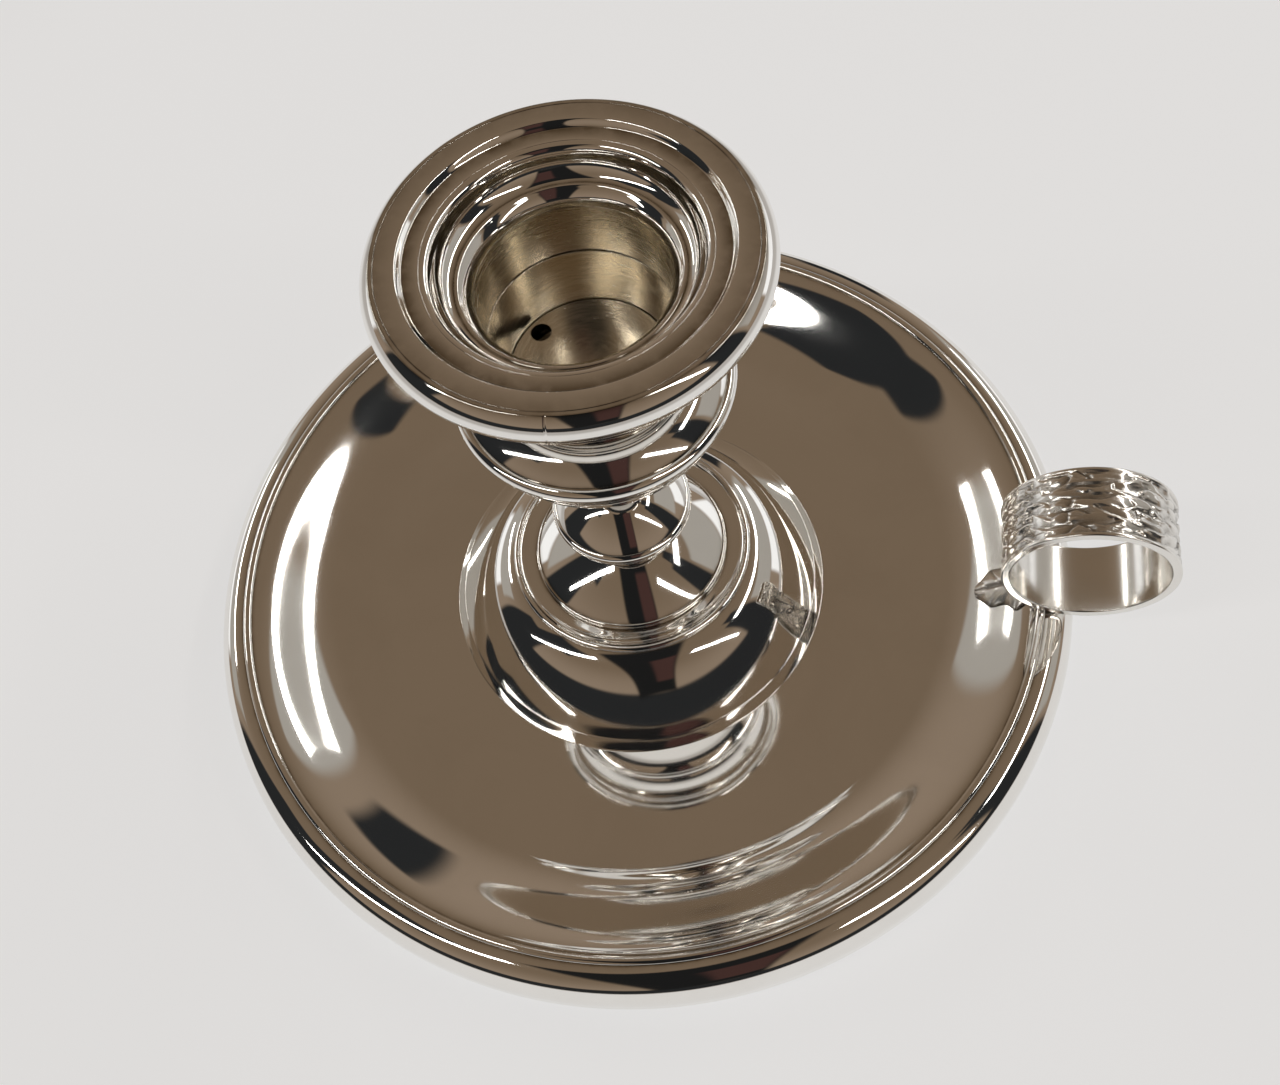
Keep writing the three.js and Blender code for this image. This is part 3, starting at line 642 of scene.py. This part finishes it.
def makeRing(values):
    tree = buildRingTree(values)
    piece = bpy.data.objects.new("silver_handle_ring", bpy.data.meshes.new("handle_ring_start"))
    scene.collection.objects.link(piece)
    growth = piece.modifiers.new("fingerRing", "NODES")
    growth.node_group = tree
    for socket in tree.interface.items_tree:
        if socket.in_out == "INPUT":
            growth[socket.identifier] = chasedSilver if socket.name == "Finish" else values[socket.name]
    solved = piece.evaluated_get(bpy.context.evaluated_depsgraph_get())
    mesh = bpy.data.meshes.new_from_object(solved)
    piece.modifiers.remove(growth)
    piece.data = mesh
    low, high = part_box("handle_ring")
    middle = (low + high) / 2
    mesh.transform(Matrix.Translation(middle) @ Matrix.Rotation(math.pi / 2, 4, "X") @ Matrix.Scale(mm, 4))
    cleanMesh(mesh, 1e-7)
    for face in mesh.polygons:
        face.use_smooth = True
    finishPiece(piece, "holder", chasedSilver, "handle_ring")


makeRing(ringValues)


# leaf tail: follows the ogee wall from under the ring down to a point, lobed and dimpled
leafValues = {"start": 0.97, "length": 0.62, "width": 8.6, "thick": 1.5, "gap": 0.1, "rows": 72, "columns": 56,
              "wallSteps": 400, "lobes": 5, "lobeDeep": 0.12, "taper": 0.94, "taperCurve": 1.6, "ribDeep": 0.35,
              "ribWide": 0.12, "veinDeep": 0.22, "veinWide": 0.35, "veinLean": 0.9, "crown": 0.75, "thinning": 0.6,
              "veinDark": 2.2, "edgeDark": 0.6, "edgeCurve": 6}


def makeLeaf(values, dish):
    wall = np.array(wallLine(dish, values["wallSteps"]))
    slope = np.gradient(wall, axis=0)
    slope /= np.linalg.norm(slope, axis=1)[:, None]
    along = np.linspace(0, 1, values["rows"] + 1)[:, None]
    side = np.linspace(-1, 1, values["columns"] + 1)[None, :]
    share = np.rint((values["start"] - values["length"] * along) * values["wallSteps"]).astype(int)[:, 0]
    lobes = 1 + values["lobeDeep"] * np.cos(along * math.pi * values["lobes"])
    halfWide = values["width"] / 2 * lobes * np.sqrt(1 - values["taper"] * along ** values["taperCurve"])
    rib = np.exp(-((side / values["ribWide"]) ** 2))
    wave = np.sin((along * values["lobes"] - np.abs(side) * values["veinLean"]) * math.pi)
    veins = (1 - values["ribDeep"] * rib
             - values["veinDeep"] * np.exp(-((wave / values["veinWide"]) ** 2)) * np.abs(side))
    body = values["thick"] * (1 - values["crown"] * side ** 2) * (1 - values["thinning"] * along) * veins
    spots = []
    for lift in (body, np.zeros_like(body)):
        height = values["gap"] + lift
        reach = wall[share, 0][:, None] - slope[share, 1][:, None] * height
        level = wall[share, 1][:, None] + slope[share, 0][:, None] * height
        turn = side * halfWide / reach
        spots.append(np.stack([reach * np.cos(turn), reach * np.sin(turn), level], -1).reshape(-1, 3))
    rows, columns = values["rows"], values["columns"]
    stride, count = columns + 1, (rows + 1) * (columns + 1)
    faces = []
    for i in range(rows):
        for j in range(columns):
            a = i * stride + j
            faces.append((a, a + 1, a + stride + 1, a + stride))
            faces.append(tuple(count + k for k in (a, a + stride, a + stride + 1, a + 1)))
        for left in (i * stride, i * stride + columns):
            faces.append((left, left + stride, count + left + stride, count + left))
    for j in range(columns):
        for tip in (j, rows * stride + j):
            faces.append((tip, tip + 1, count + tip + 1, count + tip))
    mesh = bpy.data.meshes.new("handle_leaf_carved")
    mesh.from_pydata((np.concatenate(spots) * mm).tolist(), [], faces)
    shade = mesh.attributes.new("seam", "FLOAT", "POINT")
    edge = values["edgeDark"] * side ** values["edgeCurve"]
    dark = np.clip((1 - veins) * values["veinDark"] + edge, 0, 1) * np.ones_like(body)
    shade.data.foreach_set("value", np.concatenate([dark.ravel(), np.ones(count)]).astype(np.float32))
    cleanMesh(mesh)
    finishPiece(pieceFromMesh("silver_handle_leaf", mesh), "holder", chasedSilver, "handle_leaf")


makeLeaf(leafValues, dishValues)

# run of solder between the ring and the rim, slightly dented
saddleValues = {"shrink": 0.98, "sides": 64, "rows": 32, "dent": 0.06, "dentsAlong": 7, "dentsAcross": 5}


def makeSaddle(values):
    low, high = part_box("handle_saddle")
    middle, size = (low + high) / 2, (high - low) / 2 * values["shrink"]
    work = bmesh.new()
    bmesh.ops.create_uvsphere(work, u_segments=values["sides"], v_segments=values["rows"], radius=1.0)
    for corner in work.verts:
        wave = math.sin(corner.co.x * values["dentsAlong"] + corner.co.y * values["dentsAcross"])
        swell = 1 - values["dent"] * (1 + wave) / 2
        corner.co = middle + Vector(a * b for a, b in zip(corner.co, size)) * swell
    mesh = bpy.data.meshes.new("handle_saddle_solder")
    work.to_mesh(mesh)
    work.free()
    finishPiece(pieceFromMesh("silver_handle_saddle", mesh), "holder", chasedSilver, "handle_saddle")


makeSaddle(saddleValues)
print("handle made")


# pale table that keeps the shadow of the object: partly bright by itself, with painted shade that makes it duller
# further out
tableValues = {"radius": 6.0, "colour": (0.80, 0.79, 0.78, 1), "farShade": (0.60, 0.58, 0.56, 1), "fade": (0.17, 0.40),
               "white": 0.6, "grainScale": 30.0, "grainShade": 0.97, "sides": 128, "below": 0.0002}


def makeTable(values):
    material = bpy.data.materials.new("paleTable")
    material.use_nodes = True
    tree = material.node_tree
    tree.nodes.clear()
    path = addNode(tree, "ShaderNodeLightPath").outputs
    seen = doMath(tree, "MAXIMUM", doMath(tree, "MAXIMUM", path["Is Camera Ray"], path["Is Glossy Ray"]),
                  path["Is Transmission Ray"])
    place = addNode(tree, "ShaderNodeTexCoord").outputs["Object"]
    grain = addNode(tree, "ShaderNodeTexNoise",
                    {"Vector": place, "Scale": values["grainScale"], "Detail": 3.0}).outputs[0]
    shaded = tuple(c * values["grainShade"] for c in values["colour"][:3]) + (1,)
    tint = mixColour(tree, grain, values["colour"], shaded)
    out = addNode(tree, "ShaderNodeVectorMath", {0: place}, operation="LENGTH").outputs["Value"]
    # painted shade: from here outwards the table's colour and its glow darken towards the far shade colour
    away = remap(tree, out, *values["fade"], soft=True)
    dull = addNode(tree, "ShaderNodeBsdfDiffuse", {"Color": mixColour(tree, away, tint, values["farShade"])}).outputs[0]
    glow = addNode(tree, "ShaderNodeEmission",
                   {"Color": mixColour(tree, away, (1, 1, 1, 1), values["farShade"]), "Strength": 1.0}).outputs[0]
    mixed = addNode(tree, "ShaderNodeMixShader",
                    {0: doMath(tree, "MULTIPLY", seen, values["white"]), 1: dull, 2: glow}).outputs[0]
    addNode(tree, "ShaderNodeOutputMaterial", {"Surface": mixed})
    bpy.ops.mesh.primitive_circle_add(vertices=values["sides"], radius=values["radius"], fill_type="NGON",
                                      location=(0, 0, -values["below"]))
    table = bpy.context.object
    table.name = "paleTable"
    table.data.materials.append(material)


makeTable(tableValues)

# the photograph's axes are turned from the part's by this much round the stem
photoTurn = math.radians(17.5)


def photoPlace(x, y, z):
    c, s = math.cos(photoTurn), math.sin(photoTurn)
    return Vector((c * x - s * y, s * x + c * y, z)) * mm


# warm room for the silver to show, with panels where the silver in the photograph shows bright and dark:
# each spans a swing from the camera's side and a rise above the table, in degrees
roomValues = {"low": (0.27, 0.205, 0.15, 1), "high": (0.18, 0.13, 0.087, 1), "lowRise": 8.0, "highRise": 55.0,
              "edge": 3.0, "dark": (0.02, 0.021, 0.022, 1), "pale": (0.38, 0.355, 0.32, 1), "bright": (1, 1, 1, 1)}
roomPanels = {"reflectorRight": {"swing": (80, 142), "rise": (12, 38), "colour": "pale"},
              "reflectorLeft": {"swing": (-150, -112), "rise": (12, 32), "colour": "pale"},
              "softboxRight": {"swing": (95, 135), "rise": (-2, 11), "colour": "bright"},
              "softboxLeft": {"swing": (-146, -118), "rise": (-2, 11), "colour": "bright"},
              "flagLeft": {"swing": (-107, -80), "rise": (0, 48), "colour": "dark"},
              "flagRight": {"swing": (58, 77), "rise": (0, 50), "colour": "dark"},
              "flagHighLeft": {"swing": (-98, -66), "rise": (45, 63), "colour": "dark"},
              "flagHighRight": {"swing": (64, 77), "rise": (48, 58), "colour": "dark"},
              "flagBack": {"swing": (148, 158), "rise": (0, 21), "colour": "dark"},
              "flagLowBack": {"swing": (156, 181), "rise": (0, 9), "colour": "dark"},
              "flagFront": {"swing": (-100, 75), "rise": (0, 14.5), "colour": "dark"}}
# dark card round the camera with a warm patch in it: across and ahead of the zenith, in degrees
cardValues = {"across": (-18.5, 9.5), "ahead": (8.0, 76.0), "dark": (0.012, 0.012, 0.012, 1),
              "patchAcross": (-3.0, 8.5), "patchAhead": (26.0, 66.0), "patch": (0.06, 0.03, 0.026, 1)}


# soft-edged window: one inside the span, nothing outside it
def between(tree, value, span, edge):
    rising = remap(tree, value, span[0] - edge / 2, span[0] + edge / 2, soft=True)
    falling = remap(tree, value, span[1] - edge / 2, span[1] + edge / 2, 1.0, 0.0, soft=True)
    return doMath(tree, "MULTIPLY", rising, falling)


def makeRoom(values, panels, card):
    world = bpy.data.worlds.new("studioRoom")
    scene.world = world
    world.use_nodes = True
    tree = world.node_tree
    look = addNode(tree, "ShaderNodeTexCoord").outputs["Generated"]
    axis = addNode(tree, "ShaderNodeSeparateXYZ", {0: look}).outputs
    inDegrees = 180 / math.pi  # degrees in a radian
    rise = doMath(tree, "MULTIPLY", doMath(tree, "ARCSINE", axis[2]), inDegrees)
    front = photoTurn - math.pi / 2
    ahead = doMath(tree, "ADD", doMath(tree, "MULTIPLY", axis[0], math.cos(front)),
                   doMath(tree, "MULTIPLY", axis[1], math.sin(front)))
    across = doMath(tree, "ADD", doMath(tree, "MULTIPLY", axis[0], -math.sin(front)),
                    doMath(tree, "MULTIPLY", axis[1], math.cos(front)))
    turn = doMath(tree, "ARCTAN2", across, ahead)
    swing = doMath(tree, "MULTIPLY", turn, inDegrees)
    edge = values["edge"]
    tone = mixColour(tree, remap(tree, rise, values["lowRise"], values["highRise"], soft=True),
                     values["low"], values["high"])
    for panel in panels.values():
        inside = doMath(tree, "MULTIPLY", between(tree, swing, panel["swing"], edge),
                        between(tree, rise, panel["rise"], edge))
        tone = mixColour(tree, inside, tone, values[panel["colour"]])
    fall = doMath(tree, "SUBTRACT", 90.0, rise)
    sideways = doMath(tree, "MULTIPLY", fall, doMath(tree, "SINE", turn))
    forward = doMath(tree, "MULTIPLY", fall, doMath(tree, "COSINE", turn))
    for part, sides, lengths in (("dark", "across", "ahead"), ("patch", "patchAcross", "patchAhead")):
        inside = doMath(tree, "MULTIPLY", between(tree, sideways, card[sides], edge),
                        between(tree, forward, card[lengths], edge))
        tone = mixColour(tree, inside, tone, card[part])
    tree.links.new(tone, tree.nodes["Background"].inputs["Color"])


makeRoom(roomValues, roomPanels, cardValues)

# strip lamps under one ceiling: start and end of each, as shares of the ceiling's height
lampValues = {"up": 1600.0, "wide": 0.075, "level": 10.0, "colour": (1.0, 0.985, 0.96)}
lampStrips = {"frontLeft": ((-0.45, -0.3), (-1.85, -0.1)), "frontRight": ((0.35, -0.62), (1.9, -1.38)),
              "backLeft": ((-1.2, 0.75), (-1.4, 1.95)), "backRight": ((0.85, -0.35), (1.4, 1.65))}


def makeLamps(values, strips):
    up = values["up"]
    for name, ends in strips.items():
        start, end = (photoPlace(x * up, y * up, up) for x, y in ends)
        along, spot = (end - start).normalized(), (start + end) / 2
        back = (spot - along * spot.dot(along)).normalized()
        data = bpy.data.lights.new(name, "AREA")
        data.shape = "RECTANGLE"
        data.size, data.size_y = values["wide"] * up * mm, (end - start).length
        data.energy = values["level"] * math.pi * data.size * data.size_y
        data.color = values["colour"]
        lamp = bpy.data.objects.new(name, data)
        scene.collection.objects.link(lamp)
        lamp.matrix_world = Matrix.Translation(spot) @ Matrix((along.cross(back), along, back)).transposed().to_4x4()
        lamp.visible_camera = False


makeLamps(lampValues, lampStrips)

# camera of the photograph: place and target in millimetres, roll in degrees
cameraValues = {"place": (0.0, -107.4, 205.15), "target": (1.3, 0.0, 14.05), "roll": -12.07,
                "lens": 42.19, "sensor": 36.0, "clip": (0.005, 100.0)}


def makeCamera(values):
    data = bpy.data.cameras.new("photoCamera")
    data.sensor_fit, data.sensor_width, data.lens = "HORIZONTAL", values["sensor"], values["lens"]
    data.clip_start, data.clip_end = values["clip"]
    camera = bpy.data.objects.new("photoCamera", data)
    scene.collection.objects.link(camera)
    place, target = photoPlace(*values["place"]), photoPlace(*values["target"])
    ahead = (target - place).normalized()
    right = ahead.cross(Vector((0, 0, 1))).normalized()
    up = right.cross(ahead)
    c, s = math.cos(math.radians(values["roll"])), math.sin(math.radians(values["roll"]))
    camera.matrix_world = (Matrix.Translation(place)
                           @ Matrix((c * right + s * up, c * up - s * right, -ahead)).transposed().to_4x4())
    scene.camera = camera


makeCamera(cameraValues)
scene.view_settings.view_transform = "Standard"
print("table, room, lamps and camera placed")
